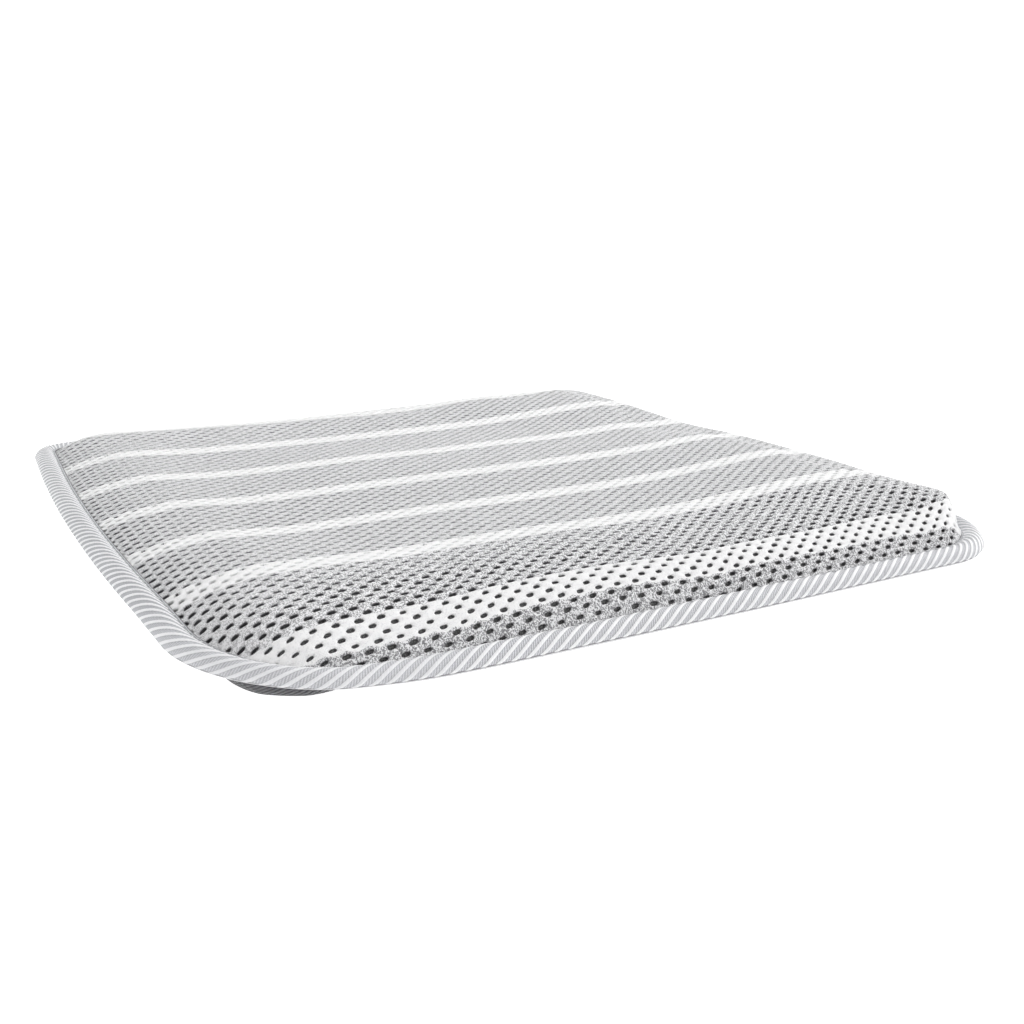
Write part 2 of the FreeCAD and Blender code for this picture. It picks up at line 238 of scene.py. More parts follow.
near_point, near_outward, near_z, near_distance = edge_points(1460)
grid_points = np.stack([GRID_X.ravel(), GRID_Y.ravel()], 1)
nearest = nearest_edge(grid_points, near_point)
from_edge = grid_points - near_point[nearest]
nearest_outward = near_outward[nearest]
INSET = -(from_edge * nearest_outward).sum(1).reshape(COUNT_X, COUNT_Y)
OUT_X = nearest_outward[:, 0].reshape(COUNT_X, COUNT_Y)
OUT_Y = nearest_outward[:, 1].reshape(COUNT_X, COUNT_Y)
EDGE_Z = blur(near_z[nearest].reshape(COUNT_X, COUNT_Y), 5.0)
EDGE_DISTANCE = near_distance[nearest].reshape(COUNT_X, COUNT_Y)

# crown of the top cloth above the floor: a row per y, front to back; a column per x, left to right
CROWN_X = [-200, -158, -128, -92, -45, 0, 45, 80, 118, 159, 200]
CROWN_Y = [-200, -160, -120, -66, -12, 41, 95, 148, 196]
CROWN = [
    [25.4, 25.4, 25.4, 24.8, 24.0, 23.4, 23.4, 24.0, 25.8, 26.0, 25.0],
    [26.0, 26.0, 25.8, 25.2, 24.3, 23.5, 23.5, 24.3, 26.4, 26.8, 25.6],
    [26.2, 26.2, 25.5, 24.3, 24.1, 23.1, 23.0, 24.5, 26.8, 27.5, 26.8],
    [24.3, 24.3, 22.6, 22.4, 22.6, 22.2, 22.2, 23.2, 25.3, 26.3, 26.1],
    [23.9, 23.9, 22.3, 22.0, 22.0, 22.0, 22.0, 22.2, 23.2, 24.3, 24.3],
    [23.4, 23.4, 21.8, 21.3, 21.6, 21.0, 21.1, 20.9, 21.7, 22.4, 22.4],
    [23.5, 23.5, 22.2, 21.2, 20.3, 20.1, 20.4, 21.7, 23.5, 24.8, 24.8],
    [23.4, 23.4, 22.8, 22.2, 21.8, 22.6, 23.4, 24.9, 25.6, 25.5, 25.5],
    [23.0, 23.0, 22.6, 22.2, 21.8, 22.6, 23.2, 24.4, 25.2, 25.1, 25.1],
]
SEAM_INSET = 10.6       # where the cloth leaves the tape
SEAM_UP = 1.5           # its height there, above the middle of the tape
FLARE = 1.5             # the cloth turns up out of the seam over a short curve

# the rounded shoulder: distance along the edge, width of the shoulder, fullness of its curve
SHOULDER = np.array([
    (32, 28.0, 2.25), (126, 25.0, 2.95), (190, 33.0, 3.2), (262, 60.0, 4.2),
    (292, 58.0, 4.2), (312, 36.0, 3.6), (328, 14.0, 3.2), (343, 11.0, 3.1),
    (356, 15.0, 3.1), (374, 24.0, 3.0), (398, 30.0, 3.0), (425, 28.0, 3.0),
    (515, 22.0, 1.93), (690, 43.6, 2.17), (890, 38.0, 1.91), (1045, 36.0, 2.9),
    (1085, 26.0, 2.7), (1130, 27.0, 2.3), (1250, 25.6, 2.05), (1465, 28.0, 2.1),
]).T


def plain_top():
    """Height of the top cloth: the crown, falling over the shoulder to the seam."""
    crown_rows = natural_spline(CROWN_Y, CROWN)(line_y)
    crown = natural_spline(CROWN_X, crown_rows.T)(line_x)
    width, fullness = (blur(round_edge(SHOULDER[0], column, EDGE_DISTANCE, 8.0), 2.0)
                       for column in SHOULDER[1:])
    run = np.clip(INSET - SEAM_INSET, 0, width)
    run = ((np.sqrt(run ** 2 + FLARE ** 2) - FLARE)
           / (np.sqrt(width ** 2 + FLARE ** 2) - FLARE))
    rise = 1 - (1 - np.clip(run, 0, 1)) ** fullness
    seam = EDGE_Z + SEAM_UP
    return np.where(INSET < SEAM_INSET, seam, seam * (1 - rise) + crown * rise)


PLAIN_Z = plain_top()


def sample(grid, x, y):
    """Bilinear reading of a grid."""
    place_x = np.clip((np.asarray(x) - GRID_X0) / GRID_STEP, 0, COUNT_X - 1.001)
    place_y = np.clip((np.asarray(y) - GRID_Y0) / GRID_STEP, 0, COUNT_Y - 1.001)
    i, j = place_x.astype(int), place_y.astype(int)
    part_x, part_y = place_x - i, place_y - j
    return (grid[i, j] * (1 - part_x) * (1 - part_y) + grid[i + 1, j] * part_x * (1 - part_y)
            + grid[i, j + 1] * (1 - part_x) * part_y + grid[i + 1, j + 1] * part_x * part_y)


# =============================================================================
# 4. Mesh helpers
# =============================================================================
def add_vectors(mesh, name, domain, values):
    attribute = mesh.attributes.new(name, "FLOAT_VECTOR", domain)
    attribute.data.foreach_set("vector", np.asarray(values, np.float32).ravel())


def signed_volume(verts, faces):
    """Six times the volume; positive when the faces look outwards."""
    volume = 0.0
    for group in faces:
        for k in range(1, group.shape[1] - 1):
            first, second, third = (verts[group[:, i]] for i in (0, k, k + 1))
            volume += (first * np.cross(second, third)).sum()
    return volume


def make_mesh(name, verts, faces, material=None, point_data=None, corner_data=None,
              closed=True):
    """Smooth mesh object. faces is a list of index arrays, one row per face. point_data is
    (attribute name, vectors); corner_data is (attribute name, one array per face array)."""
    verts = np.asarray(verts, float)
    flip = closed and signed_volume(verts, faces) < 0
    if flip:
        faces = [group[:, ::-1] for group in faces]
    mesh = bpy.data.meshes.new(name)
    mesh.vertices.add(len(verts))
    mesh.vertices.foreach_set("co", (verts * MM).astype(np.float32).ravel())
    loops = np.concatenate([group.ravel() for group in faces]).astype(np.int32)
    sizes = np.concatenate([np.full(len(group), group.shape[1], np.int32) for group in faces])
    starts = np.concatenate([[0], np.cumsum(sizes)[:-1]]).astype(np.int32)
    mesh.loops.add(len(loops))
    mesh.loops.foreach_set("vertex_index", loops)
    mesh.polygons.add(len(sizes))
    mesh.polygons.foreach_set("loop_start", starts)
    mesh.polygons.foreach_set("loop_total", sizes)
    mesh.update(calc_edges=True)
    mesh.polygons.foreach_set("use_smooth", np.full(len(mesh.polygons), True))
    if point_data:
        add_vectors(mesh, point_data[0], "POINT", point_data[1])
    if corner_data:
        groups = [group[:, ::-1] if flip else group for group in corner_data[1]]
        values = np.concatenate([group.reshape(-1, 3) for group in groups])
        add_vectors(mesh, corner_data[0], "CORNER", values)
    mesh.update()
    mesh.validate()
    piece = bpy.data.objects.new(name, mesh)
    bpy.context.scene.collection.objects.link(piece)
    if material:
        mesh.materials.append(material)
    return piece


def grid_faces(rows, columns, close_rows=True, close_columns=False, base=0, flip=False):
    """Faces of a grid whose vertex index is base + row * columns + column."""
    i, j = np.meshgrid(np.arange(rows if close_rows else rows - 1),
                       np.arange(columns if close_columns else columns - 1), indexing="ij")
    next_i, next_j = (i + 1) % rows, (j + 1) % columns
    faces = np.stack([i * columns + j, next_i * columns + j,
                      next_i * columns + next_j, i * columns + next_j], -1)
    faces = faces.reshape(-1, 4) + base
    return faces[:, ::-1] if flip else faces


def closed_sheet(name, top, bottom, top_centre, bottom_centre, material):
    """Sheet from two (around, inwards, xyz) skins, joined at the rim, closed in the middle."""
    around, rings = top.shape[:2]
    total = around * rings
    verts = np.vstack([top.reshape(-1, 3), bottom.reshape(-1, 3), top_centre, bottom_centre])
    start = np.arange(around) * rings
    after = np.roll(start, -1)
    inner, inner_after = start + rings - 1, after + rings - 1
    faces = [
        grid_faces(around, rings),
        grid_faces(around, rings, base=total, flip=True),
        np.stack([start + total, after + total, after, start], -1),
        np.stack([inner, inner_after, np.full(around, 2 * total)], -1),
        np.stack([inner_after + total, inner + total, np.full(around, 2 * total + 1)], -1),
    ]
    return make_mesh(name, verts, faces, material)


SHEET_COUNT = 728       # points round a sheet


def layered_sheet(name, top_height, bottom_height, insets, material=None, count=SHEET_COUNT):
    """Closed sheet: rings at the insets, then rings drawn in to the middle. The height
    functions take x, y, inset and edge height."""
    point, outward, height, _ = edge_points(count)
    last = point - outward * insets[-1]
    shrink = np.linspace(0.96, 0.04, 24)
    rings = [point - outward * inset for inset in insets] + [last * scale for scale in shrink]
    depth = [float(inset) for inset in insets]
    depth += [insets[-1] + (1 - scale) * 100 for scale in shrink]
    plan = np.stack(rings, 1)
    x, y = plan[..., 0], plan[..., 1]
    inset = np.repeat(np.array(depth)[None, :], count, 0)
    edge_z = np.repeat(height[:, None], len(depth), 1)
    middle = (np.zeros(1), np.zeros(1), np.full(1, 200.0), np.zeros(1))
    skins = [np.stack([x, y, surface(x, y, inset, edge_z)], -1)
             for surface in (top_height, bottom_height)]
    centres = [[0, 0, float(surface(*middle)[0])] for surface in (top_height, bottom_height)]
    return closed_sheet(name, *skins, *centres, material)


# =============================================================================
# 5. Shader helpers
# =============================================================================
class Signal:
    """A shader output. Arithmetic on it adds Math nodes, with this value first."""

    def __init__(self, shade, socket):
        self.shade = shade
        self.socket = socket

    def math(self, operation, *others):
        inputs = dict(enumerate((self, *others)))
        return self.shade.add("ShaderNodeMath", inputs, operation=operation)

    def __add__(self, other):
        return self.math("ADD", other)

    def __sub__(self, other):
        return self.math("SUBTRACT", other)

    def __mul__(self, other):
        return self.math("MULTIPLY", other)

    def __truediv__(self, other):
        return self.math("DIVIDE", other)

    def wave(self, period, kind="SINE"):
        return (self * (2 * math.pi / period)).math(kind)

    def to_unit(self):
        """Maps -1..1 to 0..1."""
        return self.math("MULTIPLY_ADD", 0.5, 0.5)

    def ramp(self, start, end, low=0.0, high=1.0):
        """Smooth step from low at start to high at end."""
        return self.shade.add("ShaderNodeMapRange",
                              dict(enumerate((self, start, end, low, high))),
                              interpolation_type="SMOOTHSTEP")

    def colors(self, off, on):
        """Mixes two colours, with this value as the factor."""
        return self.shade.add("ShaderNodeMix", {0: self, 6: off, 7: on}, 2, data_type="RGBA")

    def values(self, off, on):
        """Mixes two numbers, with this value as the factor."""
        return self.shade.add("ShaderNodeMix", {0: self, 2: off, 3: on}, data_type="FLOAT")

    def bump(self, distance, strength):
        """Normal from this value as relief; distance is in metres."""
        return self.shade.add("ShaderNodeBump", {"Strength": strength, "Distance": distance,
                                                 "Height": self})


class Shade:
    """A material with one Principled shader, and short ways to add nodes to it."""

    INPUTS = dict(color="Base Color", roughness="Roughness", specular="Specular IOR Level",
                  sheen="Sheen Weight", sheen_roughness="Sheen Roughness", normal="Normal",
                  glow="Emission Color", glow_strength="Emission Strength")

    def __init__(self, name):
        self.material = bpy.data.materials.new(name)
        self.material.use_nodes = True
        self.tree = self.material.node_tree
        self.tree.nodes.clear()
        self.output = self.tree.nodes.new("ShaderNodeOutputMaterial")
        self.principled = self.tree.nodes.new("ShaderNodeBsdfPrincipled")
        self.finish(Signal(self, self.principled.outputs[0]))

    def put(self, socket, value):
        """Links a signal, or sets a number or a colour."""
        if isinstance(value, Signal):
            self.tree.links.new(value.socket, socket)
        elif isinstance(value, tuple):
            socket.default_value = (*value, 1.0)
        else:
            socket.default_value = value

    def add(self, kind, inputs, output=0, **settings):
        node = self.tree.nodes.new(kind)
        for name, value in settings.items():
            setattr(node, name, value)
        for key, value in inputs.items():
            self.put(node.inputs[key], value)
        return Signal(self, node.outputs[output])

    def finish(self, shader):
        self.put(self.output.inputs["Surface"], shader)

    def surface(self, **values):
        for name, value in values.items():
            self.put(self.principled.inputs[self.INPUTS[name]], value)
        return self.material

    def combine(self, x, y, z):
        return self.add("ShaderNodeCombineXYZ", {0: x, 1: y, 2: z})

    def split(self, vector):
        first = self.add("ShaderNodeSeparateXYZ", {0: vector})
        return [Signal(self, socket) for socket in first.socket.node.outputs]

    def split_attribute(self, name):
        return self.split(self.add("ShaderNodeAttribute", {}, "Vector", attribute_name=name))

    def position(self):
        """Object coordinates in millimetres."""
        place = self.add("ShaderNodeTexCoord", {}, "Object")
        return self.add("ShaderNodeVectorMath", {0: place, "Scale": 1000.0}, operation="SCALE")

    def noise(self, vector, scale, detail=2.0, roughness=0.5):
        return self.add("ShaderNodeTexNoise", {"Vector": vector, "Scale": scale,
                                               "Detail": detail, "Roughness": roughness})

    def flat_noise(self, x, y, scale, scale_y=None, layer=0.0, detail=2.0, roughness=0.5):
        """Noise over two coordinates; layer picks a different pattern."""
        vector = self.combine(x * scale, y * (scale_y or scale), layer)
        return self.noise(vector, scale=1.0, detail=detail, roughness=roughness)


# =============================================================================
# 6. Materials
# =============================================================================
STRIPE_PITCH = 53.66                # along the cloth
STRIPE_CENTRE = -12.5               # centre of the middle stripe
STRIPE_HALF = 6.05                  # half a stripe's width
HOLE_ROW = STRIPE_PITCH / 18.0      # pitch of the rows of holes
HOLE_PITCH = 8.53                   # pitch of the holes along a row


def material_top_mesh():
    shade = Shade("air_mesh_striped")
    # cloth lengths along and across the stripes, and depth below the top face
    along, across, depth = shade.split_attribute("fab")
    # melange yarn: short dark and light flecks, loop by loop
    drift_along = shade.flat_noise(along, across, 1.9, layer=3.0, detail=1.0) * 1.3
    drift_across = shade.flat_noise(along, across, 1.9, layer=9.0, detail=1.0) * 1.3
    loop_column = ((along + drift_along) / 0.42).math("FLOOR")
    loop_row = ((across + drift_across) / 0.36).math("FLOOR")
    loop_cell = shade.combine(loop_column, loop_row, 1.0)
    loop_random = shade.add("ShaderNodeTexWhiteNoise", {"Vector": loop_cell}, "Value")
    tuft = shade.flat_noise(along, across, 3.4, scale_y=4.2, layer=5.0, roughness=0.6)
    fleck = loop_random * 0.72 + tuft * 0.45
    # distance to the nearest stripe's centre; the edge steps round the holes and breaks up
    stripe = (across - STRIPE_CENTRE) / STRIPE_PITCH
    from_centre = (stripe - stripe.math("ROUND")).math("ABSOLUTE") * STRIPE_PITCH
    zigzag = along.math("PINGPONG", HOLE_PITCH / 2)
    wobble = shade.flat_noise(along, across, 0.9)
    ragged = ((zigzag - HOLE_PITCH / 4) * 0.26
              + ((wobble - 0.5) * 1.4 + (fleck - 0.58) * 0.9))
    white = (from_centre + ragged).ramp(start=STRIPE_HALF + 0.2, end=STRIPE_HALF - 0.2)
    light = fleck.ramp(start=0.46, end=0.62)
    slow = shade.flat_noise(along, across, 0.06, layer=2.0)
    # the flecks show most at the front; further back they blend
    near = across.ramp(start=-105.0, end=-150.0) * along.ramp(start=-185.0, end=-120.0)
    # painted shade: the last rows before the front seam, where the cloth turns down into it, are
    # shifted dark; the flecks there also show more
    front_seam_shade = across.ramp(start=-172.0, end=-182.0)
    contrast = near.values(0.46, 1.15) + front_seam_shade * 0.60
    light = (light - 0.56).math("MULTIPLY_ADD", contrast, front_seam_shade.values(0.62, 0.17))
    grey = light.colors((0.245, 0.245, 0.255), (0.935, 0.935, 0.945))
    grey = (slow * 0.12).colors(grey, (0.57, 0.57, 0.585))
    pale = loop_random.ramp(start=0.70, end=0.98).colors((0.955, 0.955, 0.955),
                                                         (0.84, 0.84, 0.85))
    color = white.colors(grey, pale)
    # painted shade: the walls of the holes are painted darker with depth; on the white stripes
    # this painted shade starts deeper, and towards the front it starts less deep
    white_wall_shade = across.ramp(start=-140.0, end=-155.0).values(
        depth.ramp(start=0.75, end=2.0), depth.ramp(start=0.35, end=1.4))
    hole_wall_shade = white.values(depth.ramp(start=0.07, end=0.70), white_wall_shade)
    hole_wall_shade_color = white.colors((0.12, 0.12, 0.125), (0.26, 0.26, 0.27))
    color = hole_wall_shade.colors(color, hole_wall_shade_color)
    # knitted loops
    wale_pitch = 0.62
    wale = along.wave(wale_pitch)
    course = (across + along.math("PINGPONG", wale_pitch / 2) * 0.8).wave(0.52)
    relief = (wale * 0.4 + course * 0.6) * 0.5 + tuft * 0.9
    return shade.surface(color=color, roughness=0.82, specular=0.25, sheen=0.2,
                         sheen_roughness=0.5,
                         normal=relief.bump(distance=0.00022, strength=0.85))


def material_lining():
    shade = Shade("dark_lining_knit")
    position = shade.position()
    x, y, _ = shade.split(position)
    fuzz = shade.noise(position, scale=2.2)
    rib = (x + y.math("PINGPONG", 0.4) * 1.0).wave(0.8)
    color = fuzz.ramp(start=0.3, end=0.7).colors((0.20, 0.20, 0.205), (0.38, 0.38, 0.385))
    return shade.surface(color=color, roughness=0.9, specular=0.2, sheen=0.2,
                         normal=(fuzz + rib * 0.4).bump(distance=0.0003, strength=0.8))


def material_tape(pitch):
    shade = Shade("edge_tape_slant_stripe")
    # distance along the edge, distance round the section from its upper inner lip, part
    along, girth, part = shade.split_attribute("tape")
    turns = along / pitch
    phase = turns - turns.math("FLOOR")
    crest = (phase - 0.5).math("ABSOLUTE") * 2.0        # 1 on the rib's crest, 0 mid band
    fuzz = shade.flat_noise(along, girth, 1.3, detail=3.0)
    rib = (crest + (fuzz - 0.5) * 0.12).ramp(start=0.54, end=0.66)
    # the grey band: a row of short cords across it, broken into files
    cord = (along - girth * 1.1).wave(0.9).to_unit()
    files = (phase - 0.5).wave(0.2, "COSINE").to_unit()
    weave = cord * 0.6 + (files * cord) * 0.4
    band = weave.colors((0.30, 0.303, 0.325), (0.74, 0.745, 0.775))
    patches = shade.flat_noise(along, girth, 3.1, layer=4.0)
    band = patches.ramp(start=0.40, end=0.64, low=0.0, high=0.55).colors(
        band, (0.69, 0.695, 0.72))
    # painted shadow: the band is darkened in a thin line along each side of a rib
    rib_edge_shadow = crest.ramp(start=0.36, end=0.52) * crest.ramp(start=0.66, end=0.54)
    band = (rib_edge_shadow * 0.55).colors(band, (0.30, 0.303, 0.325))
    # round the two front corners the ribs show less and the pale ribs are darkened, partly painted
    # shade; up the left side the grey bands are darker
    right = along.ramp(start=300.0, end=355.0) * along.ramp(start=470.0, end=410.0)
    left = along.ramp(start=1020.0, end=1120.0) * along.ramp(start=1420.0, end=1370.0)
    bend = along.ramp(start=1405.0, end=1440.0).math(
        "MAXIMUM", along.ramp(start=45.0, end=15.0))
    calm_and_shade = right * 0.70 + (left * 0.04 + bend * 0.25)
    band = calm_and_shade.colors(band, (0.63, 0.635, 0.66))
    band = (left * 0.55).colors(band, (0.34, 0.343, 0.37))
    pale = (cord * 0.30).colors((0.835, 0.835, 0.845), (0.72, 0.725, 0.745))
    pale = (calm_and_shade * 0.8).colors(pale, (0.66, 0.665, 0.69))
    color = rib.colors(band, pale)
    # painted shade: round the front-right corner and at the front-left bend the whole tape is
    # darkened towards grey
    color = (right * 0.26 + bend * 0.10).colors(color, (0.30, 0.30, 0.315))
    # the folded lip is plain grey and the bead along the fold is pale; the dark line at the inner
    # edge of the upper lip is a painted shadow where the cloth meets the tape, and the darker grey
    # of the groove and of the cloth below the bead is painted shade
    plain = girth.ramp(start=0.95, end=0.45).colors((0.38, 0.385, 0.41), (0.10, 0.10, 0.105))
    plain = girth.ramp(start=8.0, end=9.0).colors(plain, (0.25, 0.25, 0.26))
    color = part.ramp(start=0.35, end=0.65).colors(color, plain)
    color = part.ramp(start=1.35, end=1.65).colors(color, (0.80, 0.80, 0.81))
    relief = weave * rib.values(1.0, 0.35) + fuzz * 0.6
    return shade.surface(color=color, roughness=rib.values(0.62, 0.5), specular=0.35,
                         sheen=0.2, sheen_roughness=0.4,
                         normal=relief.bump(distance=0.00018, strength=0.8))


def material_thread():
    shade = Shade("sewing_thread")
    x, y, z = shade.split(shade.position())
    twist = ((x + y) + z * 1.6).wave(0.42).to_unit()
    return shade.surface(color=twist.colors((0.42, 0.425, 0.45), (0.76, 0.77, 0.79)),
                         roughness=0.5, specular=0.4, sheen=0.15,
                         normal=twist.bump(distance=0.00012, strength=0.8))


def material_base():
    shade = Shade("dark_ribbed_base_cloth")
    position = shade.position()
    x, y, z = shade.split(position)
    over_ribs = x * 0.40 + (y * -0.33 + z * -1.1)
    wobble = shade.noise(position, scale=0.5)
    rib = (over_ribs * (2 * math.pi / 1.35) + wobble * 2.0).math("SINE").to_unit()
    cross = (x * 0.64 + y * 0.77).wave(0.8).to_unit()
    fuzz = shade.noise(position, scale=3.0)
    tone = rib * 0.6 + (cross * 0.2 + fuzz * 0.35)
    relief = rib * 1.0 + (cross * 0.35 + fuzz * 0.3)
    return shade.surface(color=tone.colors((0.03, 0.03, 0.033), (0.20, 0.20, 0.21)),
                         roughness=0.85, specular=0.25, sheen=0.3, sheen_roughness=0.45,
                         normal=relief.bump(distance=0.0004, strength=0.9))


def material_wadding():
    shade = Shade("bonded_fibre_wadding")
    position = shade.position()
    clumps = shade.noise(position, scale=0.35, detail=5.0, roughness=0.7)
    fibres = shade.noise(position, scale=2.5, detail=3.0, roughness=0.7)
    return shade.surface(color=clumps.colors((0.80, 0.80, 0.78), (0.93, 0.93, 0.92)),
                         roughness=0.95, specular=0.1, sheen=0.5,
                         normal=(clumps + fibres * 0.5).bump(distance=0.001, strength=0.9))


def material_foam():
    shade = Shade("open_cell_foam")
    position = shade.position()
    cells = shade.add("ShaderNodeTexVoronoi", {"Vector": position, "Scale": 1.1}, "Distance")
    patches = shade.noise(position, scale=0.08, detail=3.0)
    color = cells.ramp(start=0.1, end=0.7).colors((0.62, 0.59, 0.48), (0.86, 0.84, 0.76))
    color = (patches * 0.3).colors(color, (0.84, 0.80, 0.66))
    return shade.surface(color=color, roughness=0.9, specular=0.15,
                         normal=cells.bump(distance=0.0006, strength=0.9))


def material_floor():
    shade = Shade("studio_paper")
    patches = shade.noise(shade.position(), scale=0.004, detail=3.0)
    # a light-box floor: it glows, so shadows on it stay pale
    seen = shade.add("ShaderNodeLightPath", {}, "Is Camera Ray")
    shade.surface(color=patches.colors((0.93, 0.93, 0.93), (0.95, 0.95, 0.95)),
                  roughness=0.9, specular=0.0, glow=(1.0, 1.0, 1.0),
                  glow_strength=seen.values(0.42, 1.0))
    # seen from below the floor lets the view through
    behind = shade.add("ShaderNodeNewGeometry", {}, "Backfacing")
    clear = shade.add("ShaderNodeBsdfTransparent", {})
    paper = Signal(shade, shade.principled.outputs[0])
    shade.finish(shade.add("ShaderNodeMixShader", {0: behind, 1: paper, 2: clear}))
    return shade.material


# =============================================================================
# 7. Settling: a short cloth run that gives the top its unevenness
# =============================================================================
# the base cloth leaves the tape at this inset and reaches the floor this much further in
BASE_INSET, BASE_RUN = 11.4, 20.6


def shell_stand_in():
    """Plain closed shell of the pad, remeshed evenly."""
    def top_height(x, y, inset, edge_z):
        return np.where(inset < SEAM_INSET, edge_z + SEAM_UP + 0.6, sample(PLAIN_Z, x, y))

    def bottom_height(x, y, inset, edge_z):
        fall = (1 - np.clip((inset - BASE_INSET) / BASE_RUN, 0, 1)) ** 2
        return np.where(inset < BASE_INSET, edge_z - 3.4, np.maximum((edge_z - 3.4) * fall, 0.0))

    insets = [5.0 + k for k in (0, 1.5, 3, 5, 7, 9, 11, 13, 15.5, 18, 21, 24, 27, 30, 33.0)]
    shell = layered_sheet("shell_stand_in", top_height, bottom_height, insets, count=560)
    remesh = shell.modifiers.new("remesh", "REMESH")
    remesh.mode = "VOXEL"
    remesh.voxel_size = 0.0045
    depsgraph = bpy.context.evaluated_depsgraph_get()
    mesh = bpy.data.meshes.new_from_object(shell.evaluated_get(depsgraph))
    coarse = shell.data
    shell.modifiers.clear()
    shell.data = mesh
    bpy.data.meshes.remove(coarse)
    return shell


def vertex_places(mesh):
    places = np.empty(len(mesh.vertices) * 3, np.float32)
    mesh.vertices.foreach_get("co", places)
    return places.reshape(-1, 3).astype(float) / MM


def add_cloth(shell, frames):
    cloth = shell.modifiers.new("cloth", "CLOTH")
    settings = cloth.settings
    settings.quality = 5
    settings.mass = 0.25
    settings.tension_stiffness = settings.compression_stiffness = 12.0
    settings.shear_stiffness = 4.0
    settings.bending_stiffness = 0.3
    settings.air_damping = 2.0
    settings.use_pressure = True
    settings.uniform_pressure_force = 4.0
    settings.effector_weights.gravity = 0.0
    settings.vertex_group_mass = "held"
    cloth.collision_settings.use_collision = False
    cloth.collision_settings.use_self_collision = False
    cloth.point_cache.frame_start = 1
    cloth.point_cache.frame_end = frames


def settle(frames=20):
    """Press the stand-in shell outwards, held at the tape, and return the unevenness its
    top takes on, as heights on the grid."""
    scene = bpy.context.scene
    shell = shell_stand_in()
    mesh = shell.data
    start = vertex_places(mesh)
    held = sample(INSET, start[:, 0], start[:, 1]) < SEAM_INSET + 2.5
    shell.vertex_groups.new(name="held").add(np.nonzero(held)[0].tolist(), 1.0, "REPLACE")
    add_cloth(shell, frames)
    for f in range(1, frames + 1):
        scene.frame_set(f)
    depsgraph = bpy.context.evaluated_depsgraph_get()
    end = vertex_places(shell.evaluated_get(depsgraph).data)
    scene.frame_set(1)
    move = end - start
    length = np.linalg.norm(move, axis=1)
    move *= np.minimum(1.0, 3.0 / np.maximum(length, 1e-6))[:, None]
    # gather the moves of the upper side on the grid
    upper = start[:, 2] > sample(EDGE_Z, start[:, 0], start[:, 1]) + 0.5
    i = np.clip(((start[upper, 0] - GRID_X0) / GRID_STEP).round().astype(int), 0, COUNT_X - 1)
    j = np.clip(((start[upper, 1] - GRID_Y0) / GRID_STEP).round().astype(int), 0, COUNT_Y - 1)
    total, hits = np.zeros_like(PLAIN_Z), np.zeros_like(PLAIN_Z)
    np.add.at(total, (i, j), move[upper, 2])
    np.add.at(hits, (i, j), 1.0)
    rise = blur(total, 3.5) / np.maximum(blur(hits, 3.5), 1e-6)
    bpy.data.objects.remove(shell, do_unlink=True)
    bpy.data.meshes.remove(mesh)
    # keep the fine unevenness only, and none of it at the seam
    fine = np.clip(rise - blur(rise, 24.0), -0.8, 0.8)
    return fine * np.clip((INSET - SEAM_INSET - 0.5) / 9.0, 0, 1)


TOP_Z = PLAIN_Z + settle()
SLOPE_X = np.gradient(TOP_Z, GRID_STEP, axis=0)
SLOPE_Y = np.gradient(TOP_Z, GRID_STEP, axis=1)
# how far straight down a layer lies for each millimetre square to the cloth
STEEP = blur(np.clip(np.sqrt(1 + SLOPE_X ** 2 + SLOPE_Y ** 2), 1, 4.5), 1.0)

# =============================================================================
# 8. Striped air-mesh top cloth: real holes through a real thickness
# =============================================================================
# uneven easing of the cloth at the front and back edges: x, shift across the stripes
EASE_FRONT = np.array([
    (-200, 4.8), (-150, 4.8), (-115, 4.2), (-97, 4.0), (-82, 2.6), (-60, 1.4), (-40, 1.0),
    (-25, 1.0), (-8, 1.7), (8, 2.6), (22, 2.9), (40, 1.4), (60, 0.6), (110, 0.3), (130, 0.6),
    (150, 2.2), (200, 2.2)]).T
EASE_BACK = np.array([(-200, -9.0), (-60, -7.0), (0, 1.5), (90, 2.5), (140, -1.0),
                      (200, -1.0)]).T

HOLE_ROWS, HOLE_COLUMNS = 150, 54
# each hole sits in a brick. Columns: a rim point of the brick, in quarter pitches along and
# half rows across; the matching corner of the long six-sided hole, in mm along and across
BRICK = [
    (-2, -1, -1.42, -0.64), (-1, -1, -0.82, -0.86), (0, -1, 0.0, -0.90),
    (1, -1, 0.82, -0.86), (2, -1, 1.42, -0.64), (2, 0, 1.84, 0.0),
    (2, 1, 1.42, 0.64), (1, 1, 0.82, 0.86), (0, 1, 0.0, 0.90),
    (-1, 1, -0.82, 0.86), (-2, 1, -1.42, 0.64), (-2, 0, -1.84, 0.0),
]
HOLE_SKEW = 0.09
# height of the holes by distance in from the seam, for each stretch of the edge
HEIGHT_FRONT = np.array([(0, 0.55), (3, 0.7), (8, 0.95), (12, 1.03), (30, 1.03), (44, 0.93)]).T
HEIGHT_LEFT = np.array([(0, 1.45), (12, 1.30), (26, 1.0)]).T
HEIGHT_REST = np.array([(0, 0.55), (4, 0.7), (12, 0.78), (30, 0.84), (50, 0.93)]).T
# depth below the top face of the lip round a hole and of the start of its wall
LIP_DEPTH, WALL_DEPTH = 0.04, 0.42
THICK, SQUEEZED = 1.75, 1.1         # the cloth's thickness, free and inside the tape


